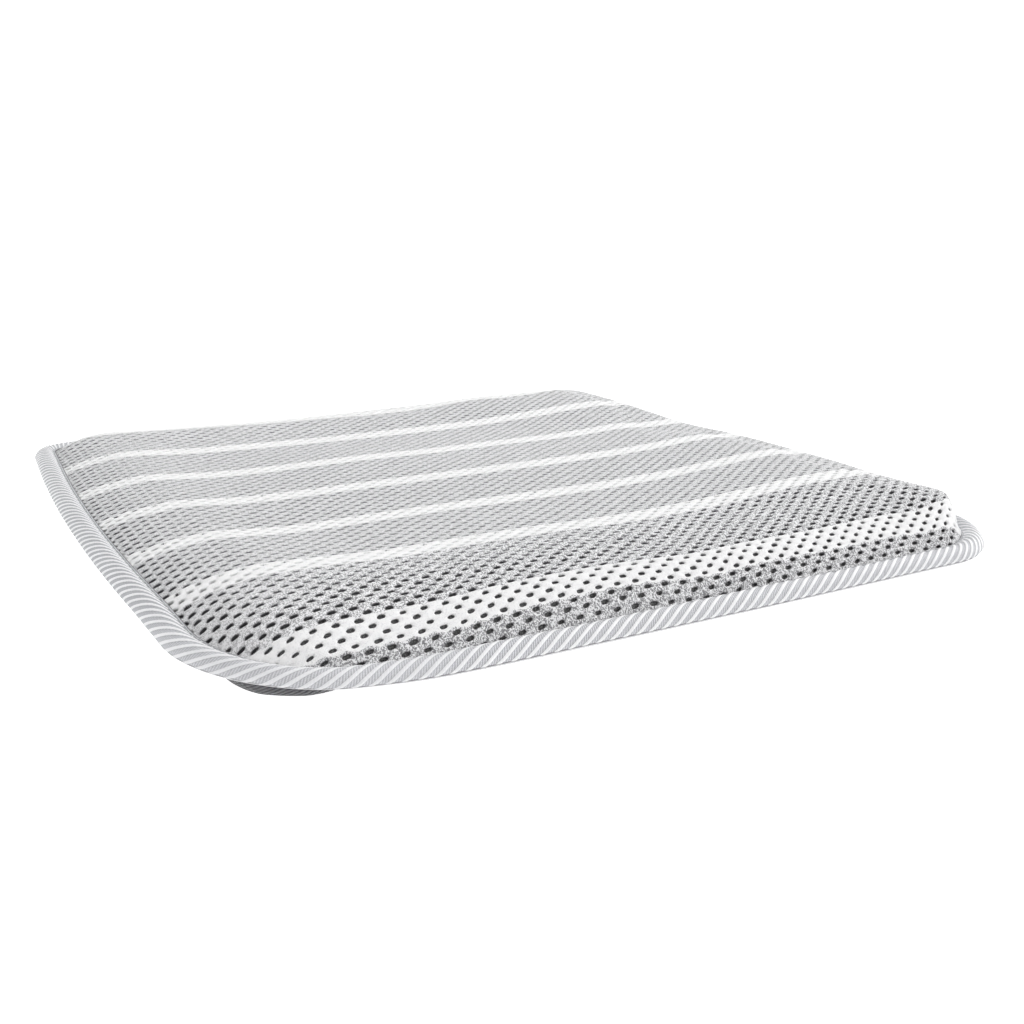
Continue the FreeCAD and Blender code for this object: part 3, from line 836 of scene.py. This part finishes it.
def cloth_lengths():
    """Length along the cloth from the middle, measured along X and Y, on the grid."""
    smooth = blur(TOP_Z, 2.0)
    flat = INSET < SEAM_INSET - 1

    def from_middle(slope, start):
        """Adds up length along the first axis."""
        stretch = np.sqrt(1 + slope ** 2)
        lengths = np.cumsum((stretch[1:] + stretch[:-1]) / 2 * GRID_STEP, 0)
        lengths = np.vstack([np.zeros((1, slope.shape[1])), lengths])
        return lengths - lengths[int(round(-start / GRID_STEP))]

    slope_x, slope_y = (np.where(flat, 0, np.gradient(smooth, GRID_STEP, axis=axis))
                        for axis in (0, 1))
    along = blur(from_middle(slope_x, GRID_X0), 2.0)
    across = blur(from_middle(slope_y.T, GRID_Y0).T, 2.0)
    for ease, nearness in ((EASE_FRONT, (-80 - GRID_Y) / 85.0),
                           (EASE_BACK, (GRID_Y - 118) / 36.0)):
        across = across + np.interp(GRID_X, *ease) * smoothstep(np.clip(nearness, 0, 1))
    return along, blur(across, 5.0)


def cloth_placer():
    """Returns a function from cloth lengths to x, y on the pad."""
    grid_along, grid_across = cloth_lengths()

    def place(along, across):
        x, y = along * 0.98, across * 0.98
        for _ in range(40):
            x = x + (along - sample(grid_along, x, y)) * 0.72
            y = y + (across - sample(grid_across, x, y)) * 0.72
        return x, y
    return place


def tuck(x, y, least=3.2):
    """Keeps the hidden margin inside the folded tape."""
    short = np.maximum(least - sample(INSET, x, y), 0)
    return x - sample(OUT_X, x, y) * short, y - sample(OUT_Y, x, y) * short


def below_top(x, y, depth):
    """Points sunk by depth square to the cloth's top face."""
    normal_x, normal_y = -sample(SLOPE_X, x, y), -sample(SLOPE_Y, x, y)
    length = np.sqrt(1 + normal_x ** 2 + normal_y ** 2)
    return np.stack([x - depth * normal_x / length, y - depth * normal_y / length,
                     sample(TOP_Z, x, y) - depth / length], 1)


def lay_bricks(place):
    """Bricks inside the tape: shared rim points (along, across), rim indices of each brick,
    and the middles of their holes, as columns."""
    row, column = np.meshgrid(np.arange(-HOLE_ROWS // 2, HOLE_ROWS // 2),
                              np.arange(-HOLE_COLUMNS // 2, HOLE_COLUMNS // 2), indexing="ij")
    across = STRIPE_CENTRE + (row + 0.5) * HOLE_ROW
    along = (column + 0.5 * (row % 2)) * HOLE_PITCH
    x, y = place(along, across)
    keep = sample(INSET, x, y) > 5.4
    quarters = np.round(along[keep] / (HOLE_PITCH / 4)).astype(int)
    half_rows = 2 * row[keep] + 1
    # neighbours share their rim points, so the cloth is closed
    points = {}
    bricks = [[points.setdefault((quarter + step_along, half_row + step_across), len(points))
               for step_along, step_across, _, _ in BRICK]
              for quarter, half_row in zip(quarters.tolist(), half_rows.tolist())]
    lattice = np.array(list(points), float)
    rim = (lattice[:, 0] * HOLE_PITCH / 4, STRIPE_CENTRE + lattice[:, 1] * HOLE_ROW / 2)
    middles = [values[keep][:, None] for values in (along, across, x, y)]
    return rim, np.array(bricks), middles


def hole_outlines(along, across, x, y):
    """Corners of every hole in cloth lengths, each hole a little different."""
    count = len(along)
    corners = np.array(BRICK)
    shape_along = corners[:, 2]
    shape_across = corners[:, 3] + HOLE_SKEW * shape_along
    size = 1 + rng.normal(0, 0.055, (count, 1))
    turn = rng.normal(0.06, 0.05, (count, 1))
    shift_along = rng.normal(0, 0.10, (count, 1))
    shift_across = rng.normal(0, 0.06, (count, 1))
    wide = shape_along * size * (1 + rng.normal(0, 0.03, (count, len(BRICK))))
    high = shape_across * size * (1 + rng.normal(0, 0.05, (count, len(BRICK))))
    # next to the sewn edge the cloth is drawn together and the holes change height
    gap = sample(INSET, x, y) - SEAM_INSET
    front = np.clip(-sample(OUT_Y, x, y), 0, 1) ** 2
    left = np.clip(-sample(OUT_X, x, y), 0, 1) ** 6
    high = high * (front * np.interp(gap, *HEIGHT_FRONT) + left * np.interp(gap, *HEIGHT_LEFT)
                   + np.clip(1 - front - left, 0, 1) * np.interp(gap, *HEIGHT_REST))
    wide = wide * (0.90 + 0.05 * (front * np.clip((34 - gap) / 12.0, 0, 1)))
    # the tight front-right corner stretches the cloth, so its holes are made smaller
    corner = np.exp(-((sample(EDGE_DISTANCE, x, y) - 345.0) / 24.0) ** 2)
    shrink = 1 - 0.28 * (corner * np.clip((15 - gap) / 6.0, 0, 1))
    wide, high = wide * shrink, high * shrink
    return (wide * np.cos(turn) - high * np.sin(turn) + along + shift_along,
            wide * np.sin(turn) + high * np.cos(turn) + across + shift_across)


def build_top_cover():
    place = cloth_placer()
    rim, bricks, middles = lay_bricks(place)
    hole = hole_outlines(*middles)
    # the lip lies between the hole and the brick's rim
    lip = [(h + (r[bricks] - h) * 0.30).ravel() for h, r in zip(hole, rim)]
    hole = [h.ravel() for h in hole]
    rim_xy, lip_xy, hole_xy = (tuck(*place(*points)) for points in (rim, lip, hole))

    def thickness(x, y):
        return np.where(sample(INSET, x, y) < 12.5, SQUEEZED, THICK)

    layers = [
        (rim, rim_xy, np.zeros(len(rim[0]))),
        (lip, lip_xy, np.full(len(lip[0]), LIP_DEPTH)),
        (hole, hole_xy, np.full(len(hole[0]), WALL_DEPTH)),
        (hole, hole_xy, thickness(*hole_xy)),
        (rim, rim_xy, thickness(*rim_xy)),
    ]
    verts = np.vstack([below_top(*xy, depth) for _, xy, depth in layers])
    cloth = np.vstack([np.stack([*lengths, depth], 1) for lengths, _, depth in layers])
    # faces: from the top rim over the lip, down the wall and back to the lower rim
    rim_count = len(rim[0])
    corners = np.arange(bricks.size).reshape(bricks.shape)
    lower = rim_count + 3 * bricks.size
    loops = [bricks, *(corners + rim_count + k * bricks.size for k in range(3)), bricks + lower]
    faces = [np.stack([outer, np.roll(outer, -1, 1), np.roll(inner, -1, 1), inner],
                      -1).reshape(-1, 4)
             for outer, inner in zip(loops, loops[1:])]
    # close the cut edge all round, where an edge belongs to one brick only
    edges = np.stack([bricks, np.roll(bricks, -1, 1)], -1).reshape(-1, 2)
    ends = np.sort(edges, 1)
    code = ends[:, 0].astype(np.int64) * (rim_count + 1) + ends[:, 1]
    _, which, uses = np.unique(code, return_inverse=True, return_counts=True)
    start, end = edges[uses[which] == 1].T
    faces.append(np.stack([end, start, start + lower, end + lower], -1))
    return make_mesh("top_mesh_cover_cloth", verts, faces, material_top_mesh(),
                     point_data=("fab", cloth))


# =============================================================================
# 9. Edge tape: folded channel with slanting raised ribs
# =============================================================================
# outer path of the section, from the inner top lip over the outside to the inner bottom lip:
# inset, height, part (0 ribbed, 1 plain lip or groove, 2 plain bead along the lower fold)
TAPE_OUTER = np.array([
    (11.3, 1.72, 1), (11.25, 2.0, 1), (10.9, 2.16, 1), (10.3, 2.22, 0), (9.75, 2.27, 0),
    (9.3, 2.45, 0), (8.7, 2.87, 0), (7.9, 3.38, 0), (6.9, 3.78, 0), (5.8, 3.97, 0),
    (4.7, 3.91, 0), (3.6, 3.58, 0), (2.6, 3.03, 0), (1.7, 2.28, 0), (0.95, 1.38, 0),
    (0.42, 0.45, 0), (0.2, -0.45, 0), (0.3, -1.15, 0), (0.55, -1.58, 1), (1.0, -1.92, 1),
    (0.68, -2.25, 2), (0.9, -2.7, 2), (1.4, -3.08, 2), (1.9, -3.32, 1), (3.2, -3.65, 0),
    (4.7, -3.76, 0), (6.4, -3.72, 0), (7.9, -3.56, 0), (9.2, -3.35, 0), (10.3, -3.2, 1),
    (11.0, -3.1, 1), (11.3, -2.75, 1)])
# inner path back to the top lip: inset, height
TAPE_INNER = np.array([
    (10.9, -2.35), (7.0, -2.5), (3.2, -2.35), (1.7, -1.2), (1.35, 0.2), (2.0, 1.6),
    (3.6, 2.5), (5.6, 2.95), (7.3, 2.6), (8.6, 1.85), (9.6, 1.6), (10.9, 1.58)])
TAPE_RIM = 16                       # the outermost point of the outer path
# points of the outer path where the ribs rise and die out, above and below
UPPER_RIBS, LOWER_RIBS = (4, 19), (23, 29)
SWELLING = slice(6, 20)             # points whose height varies slowly along the tape
# distance along the edge, stripe pitch there
STRIPE_PITCHES = np.array([
    (20, 6.1), (145, 5.95), (230, 5.85), (300, 5.3), (410, 5.3), (515, 5.3), (890, 5.4),
    (1200, 5.45), (1290, 5.35), (1360, 5.4), (1410, 5.8), (1455, 6.25)]).T
POINTS_PER_STRIPE = 8
SLANT = 1.5                         # run along the edge per millimetre round the section
RIB_UP, BAND_DOWN = 0.32, 0.10      # rise of a rib's crest and sink of the band between


def near_corner(distance, centre, spread):
    """Bell round a place on the front-left corner."""
    off = np.mod(np.asarray(distance, float) - centre + PERIMETER / 2, PERIMETER)
    return np.exp(-0.5 * ((off - PERIMETER / 2) / spread) ** 2)


def lower_half(distance):
    """Height factor: the tape's underside is drawn up flat round the front-left corner."""
    return 1 - 0.55 * near_corner(distance, centre=1460.0, spread=30.0)


def stripe_turns():
    """Stripes counted round the edge: the count at each of many distances, made whole."""
    distance = np.linspace(0, PERIMETER, 6001)
    pitch = round_edge(*STRIPE_PITCHES, (distance[1:] + distance[:-1]) / 2, 12.0)
    turns = np.concatenate([[0], np.cumsum(1 / pitch) * (distance[1] - distance[0])])
    count = int(round(turns[-1]))
    return distance, turns * (count / turns[-1]), count


def build_tape():
    outer = TAPE_OUTER[:, :2]
    outer_girth = np.concatenate(
        [[0], np.cumsum(np.linalg.norm(np.diff(outer, axis=0), axis=1))])
    plain = len(TAPE_INNER)
    girth = np.concatenate([outer_girth, np.interp(np.linspace(0, 1, plain), [0, 1],
                                                   [outer_girth[-1], outer_girth[0]])])
    section = np.vstack([outer, TAPE_INNER])
    part = np.concatenate([TAPE_OUTER[:, 2], np.ones(plain)])
    tangent = unit(np.gradient(outer, axis=0))
    normal = np.vstack([np.stack([tangent[:, 1], -tangent[:, 0]], 1), np.zeros((plain, 2))])

    # stripes counted round the edge, and the distance of every point of the slanting grid
    station, station_turns, stripes = stripe_turns()
    pitch = PERIMETER / stripes
    count = stripes * POINTS_PER_STRIPE
    turns = np.arange(count) / POINTS_PER_STRIPE
    along = np.interp(turns, station_turns, station)
    distance = along[:, None] - (girth - girth[TAPE_RIM])[None, :] * SLANT

    # ribs: 1 on the crest, dying out at the sewn lips and at the lower fold
    crest = np.abs(turns - np.floor(turns) - 0.5) * 2
    crest = smoothstep(np.clip((crest - 0.46) / 0.32, 0, 1))
    ribs = RIB_UP * crest - BAND_DOWN * (1 - crest)
    fade = sum(np.clip((girth - girth[first]) / rise, 0, 1)
               * np.clip((girth[last] - girth) / fall, 0, 1)
               for (first, last), rise, fall in ((UPPER_RIBS, 1.1, 0.9), (LOWER_RIBS, 1.4, 1.4)))
    fade[len(outer):] = 0
    raised = ribs[:, None] * fade[None, :]

    swell = np.ones_like(distance)
    slow = (1 + 0.03 * np.sin(distance / 23.0) + 0.02 * np.sin(distance / 9.7 + 1.3)
            + 0.02 * np.sin(distance / 61.0))
    swell[:, SWELLING] = slow[:, SWELLING]
    low = np.where(section[:, 1] < 0, lower_half(distance), 1.0)
    inset = section[:, 0] + normal[:, 0] * raised
    height = section[:, 1] * swell * low + normal[:, 1] * raised
    point, outward, edge_z = edge_at(distance)
    verts = np.concatenate([point - outward * inset[..., None],
                            (edge_z + height)[..., None]], -1).reshape(-1, 3)

    faces = grid_faces(count, len(section), close_columns=True)
    coordinates = np.stack(np.broadcast_arrays((turns * pitch)[:, None], girth, part), -1)
    # kept at face corners, so that the distance doesn't jump inside the closing faces
    corners = coordinates.reshape(-1, 3)[faces]
    wraps = (corners[..., 0].max(1) - corners[..., 0].min(1)) > PERIMETER / 2
    behind = wraps[:, None] & (corners[..., 0] < PERIMETER / 2)
    corners[..., 0] = np.where(behind, corners[..., 0] + PERIMETER, corners[..., 0])
    return make_mesh("edge_binding_tape", verts, [faces], material_tape(pitch),
                     corner_data=("tape", [corners]))


# =============================================================================
# 10. Lining, base cloth, wadding and stitches
# =============================================================================
def build_lining():
    """Dark lining just under the mesh."""
    def top_height(x, y, inset, edge_z):
        hidden = edge_z - 0.05
        z = np.maximum(sample(TOP_Z, x, y) - 2.2 * sample(STEEP, x, y), hidden)
        return np.where(inset < SEAM_INSET + 0.5, hidden, z)

    def bottom_height(*place):
        return top_height(*place) - 0.35

    insets = [4.5, 6.5, 8.5, 10.5, 11.5, 12.5, 13.5, 14.5, 15.5, 17, 18.5, 20, 22, 24, 26.5,
              29, 32, 35, 38]
    return layered_sheet("mesh_lining_cloth", top_height, bottom_height, insets,
                         material_lining())


def build_base():
    """Base cloth: flat on the floor, turned up into the tape. It bellies out under the tape
    at the front-left corner."""
    point, outward, edge_z, distance = edge_points(SHEET_COUNT)
    belly = np.minimum(1.0, 1.05 * near_corner(distance, centre=1457.0, spread=32.0))
    tape_z = edge_z - 2.2 * lower_half(distance)
    hem, hem_thick, floor_thick = (4.6, 6.5, 8.5, 10.2), 0.5, 0.8
    insets = [np.full(SHEET_COUNT, inset) for inset in hem]
    heights = [tape_z] * len(hem)
    thick = [hem_thick] * len(hem)
    # from the tape down to the floor: a plain fall, or a Bezier curve where it bellies out
    for t in np.concatenate([[0.0, 0.04], np.linspace(0.09, 1, 21)]):
        weights = ((1 - t) ** 3, 3 * t * (1 - t) ** 2, 3 * t * t * (1 - t), t ** 3)
        belly_inset = sum(w * inset for w, inset in zip(weights, (BASE_INSET, 7.4, 5.6, 16.0)))
        belly_z = tape_z * weights[0] + (tape_z - 1.3) * weights[1]
        insets.append((1 - belly) * (BASE_INSET + t * BASE_RUN) + belly * belly_inset)
        heights.append((1 - belly) * (tape_z * (1 - t) ** 2) + belly * belly_z)
        thick.append(hem_thick + (floor_thick - hem_thick) * min(1.0, t * 6))
    for step in (1.5, 2.5, 4.0, 6.0):
        insets.append(insets[-1] + step)
        heights.append(np.zeros(SHEET_COUNT))
        thick.append(floor_thick)
    insets, heights = np.stack(insets, 1), np.stack(heights, 1)
    # the thickness is laid off square to the path, but straight up in the hem
    run, rise = np.gradient(insets, axis=1), np.gradient(heights, axis=1)
    length = np.hypot(run, rise) + 1e-9
    top_insets = insets - rise / length * thick
    top_heights = heights + run / length * thick
    top_insets[:, :len(hem)] = insets[:, :len(hem)]
    top_heights[:, :len(hem)] = heights[:, :len(hem)] + hem_thick

    def skin(inset, height, middle_z):
        plan = point[:, None] - outward[:, None] * inset[..., None]
        outer = np.concatenate([plan, height[..., None]], -1)
        level = np.full((SHEET_COUNT, 1), middle_z)
        middle = [np.hstack([plan[:, -1] * scale, level]) for scale in np.linspace(0.95, 0.03, 24)]
        return np.concatenate([outer, np.stack(middle, 1)], 1)

    bottom = skin(insets, heights, 0.0)
    top = skin(top_insets, top_heights, floor_thick)
    return closed_sheet("bottom_cover_cloth", top, bottom, top[:, -1].mean(0),
                        bottom[:, -1].mean(0), material_base())


def build_wadding():
    """Fibre wadding between the lining and the foam."""
    edge_inset = 27.5
    bottom_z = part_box("foam_core")[1].z / MM + 0.2

    def top_height(x, y, inset, _):
        z = sample(TOP_Z, x, y) - 3.2 * sample(STEEP, x, y)
        z = z + 0.12 * np.sin(x / 7.0) * np.sin(y / 8.5)
        rounding = np.sqrt(np.clip((inset - edge_inset) / 3.0, 0, 1))
        return bottom_z + 0.4 + (np.maximum(z, bottom_z + 0.6) - bottom_z - 0.4) * rounding

    def bottom_height(x, *_):
        return np.full(np.shape(x), bottom_z)

    return layered_sheet("wadding_fibre", top_height, bottom_height,
                         [edge_inset, 27.9, 28.6, 29.6, 31, 33, 36], material_wadding())


def build_stitches(name, material, inset, level, side, length=2.75, gap=0.65, radius=0.26,
                   sink=0.35, follows_tape=False):
    """Short stitches in a row along the edge, each dipping into the cloth at both ends.
    level is their distance from the middle of the tape, side is 1 above it and -1 below."""
    count = int(round(PERIMETER / (length + gap)))
    points_along, points_round = 9, 7
    k = np.linspace(-1, 1, points_along)
    arch = (1 - np.abs(k) ** 3) * (sink + 0.12) - sink
    thickness = radius * np.where(np.abs(k) > 0.99, 0.55, 1.0)
    uneven = rng.normal(0, 1, (count, 3))
    starts = np.arange(count) * (PERIMETER / count)
    distance = starts[:, None] + k * (length / 2 + 0.1)
    point, outward, edge_z = edge_at(distance)
    if follows_tape:
        edge_z = edge_z + level * (1 - lower_half(distance))
    offset = inset + 0.05 * uneven[:, :1] + 0.10 * k * (1 + 0.2 * uneven[:, 1:2])
    middle = np.concatenate([point - outward * offset[..., None],
                             (edge_z + side * (level + arch))[..., None]], -1)
    rings = []
    for q in range(points_round):
        angle = 2 * math.pi * q / points_round
        upward = np.full((count, points_along, 1), math.sin(angle))
        around = np.concatenate([outward * math.cos(angle), upward], -1)
        rings.append(middle + around * thickness[:, None])
    verts = np.concatenate([*rings, middle[:, [0, -1]]], 1)
    # faces of one stitch: its tube and the fans that close both ends
    tube = grid_faces(points_round, points_along)
    first = np.arange(points_round) * points_along
    after = np.roll(first, -1)
    tip = np.full(points_round, points_round * points_along)
    last = points_along - 1
    fans = np.stack([tip, after, first, tip + 1, first + last, after + last], -1).reshape(-1, 3)
    base = (np.arange(count) * verts.shape[1])[:, None, None]
    return make_mesh(name, verts.reshape(-1, 3),
                     [(base + tube).reshape(-1, 4), (base + fans).reshape(-1, 3)], material)


# =============================================================================
# 11. Build every piece
# =============================================================================
def finish_piece(piece, node):
    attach(piece, "root")
    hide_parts(node)


finish_piece(build_top_cover(), "top_mesh_cover")
finish_piece(build_tape(), "edge_binding")
finish_piece(build_lining(), "mesh_lining")
finish_piece(build_base(), "bottom_cover")
finish_piece(build_wadding(), "wadding_layer")

# the foam slab keeps its CAD shape
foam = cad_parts["foam_core"]
foam.data.materials.clear()
foam.data.materials.append(material_foam())

STITCHES = [
    ("needle_thread_stitches", "binding_needle_thread", dict(inset=10.15, level=2.34, side=1)),
    ("bobbin_thread_stitches", "binding_bobbin_thread",
     dict(inset=10.15, level=3.3, side=-1, follows_tape=True)),
    ("closing_seam_stitches", "closing_seam_thread",
     dict(inset=6.2, level=0.75, side=-1, length=3.4, gap=0.8, radius=0.3, sink=0.1)),
]
thread = material_thread()
for name, node, sizes in STITCHES:
    finish_piece(build_stitches(name, thread, **sizes), node)

# =============================================================================
# 12. Floor, light, camera
# =============================================================================
# radius and height of the rings round the middle of the floor, rising to a wall
FLOOR_PROFILE = [(600, 0), (1400, 0), (2200, 0), (2800, 40), (3200, 180), (3500, 450),
                 (3650, 900), (3700, 1600), (3700, 3000)]
FLOOR_SINK = 0.15


def build_floor(around=96):
    verts = [(0, 0, 0)]
    for radius, z in FLOOR_PROFILE:
        for i in range(around):
            angle = 2 * math.pi * i / around
            verts.append((radius * math.cos(angle), radius * math.sin(angle), z))
    i = np.arange(around)
    fan = np.stack([np.zeros(around, int), 1 + i, 1 + (i + 1) % around], -1)
    rings = grid_faces(len(FLOOR_PROFILE), around, close_rows=False, close_columns=True, base=1)
    floor = make_mesh("studio_floor", np.array(verts, float) - np.array([0, 0, FLOOR_SINK]),
                      [fan, rings], material_floor(), closed=False)


def area_light(name, location, size, power):
    """Rectangular light aimed at the origin; metres and watts."""
    light = bpy.data.lights.new(name, "AREA")
    light.shape = "RECTANGLE"
    light.size, light.size_y = size
    light.energy = power
    lamp = bpy.data.objects.new(name, light)
    lamp.location = location
    lamp.rotation_mode = "QUATERNION"
    aim = Vector((0, 0, 0)) - Vector(location)
    lamp.rotation_quaternion = aim.to_track_quat("-Z", "Y")
    bpy.context.scene.collection.objects.link(lamp)


def build_camera(azimuth, elevation, roll, target, distance, lens):
    """Camera looking at target. Azimuth turns from -Y towards +X; angles are in degrees."""
    data = bpy.data.cameras.new("camera")
    camera = bpy.data.objects.new("camera", data)
    bpy.context.scene.collection.objects.link(camera)
    azimuth, elevation, roll = (math.radians(angle) for angle in (azimuth, elevation, roll))
    back = Vector((math.sin(azimuth) * math.cos(elevation),
                   -math.cos(azimuth) * math.cos(elevation), math.sin(elevation)))
    forward = -back
    level = forward.cross(Vector((0, 0, 1))).normalized()
    upright = level.cross(forward)
    right = level * math.cos(roll) + upright * math.sin(roll)
    up = -level * math.sin(roll) + upright * math.cos(roll)
    camera.rotation_mode = "QUATERNION"
    camera.rotation_quaternion = Matrix((right, up, back)).transposed().to_quaternion()
    camera.location = (Vector(target) + back * distance) * MM
    data.sensor_width = 36.0
    data.lens = lens
    data.clip_start = 0.01
    data.clip_end = 50.0
    bpy.context.scene.camera = camera


build_floor()
area_light("overhead_soft", location=(0.0, 0.1, 1.9), size=(1.6, 1.6), power=23.0)
area_light("side_soft", location=(1.9, 0.1, 0.9), size=(1.2, 1.0), power=24.7)

scene = bpy.context.scene
world = bpy.data.worlds.new("studio_world")
scene.world = world
world.use_nodes = True
background = world.node_tree.nodes["Background"]
background.inputs["Color"].default_value = (1.0, 1.0, 1.0, 1)
background.inputs["Strength"].default_value = 0.02

scene.view_settings.view_transform = "Standard"
scene.view_settings.look = "None"
scene.view_settings.exposure = 0.0
scene.view_settings.gamma = 1.0

build_camera(azimuth=-29.44, elevation=16.79, roll=0.68,
             target=(2.418 + CENTRE_X, -36.9915 + CENTRE_Y, 5.01),
             distance=593.736, lens=40.9725)
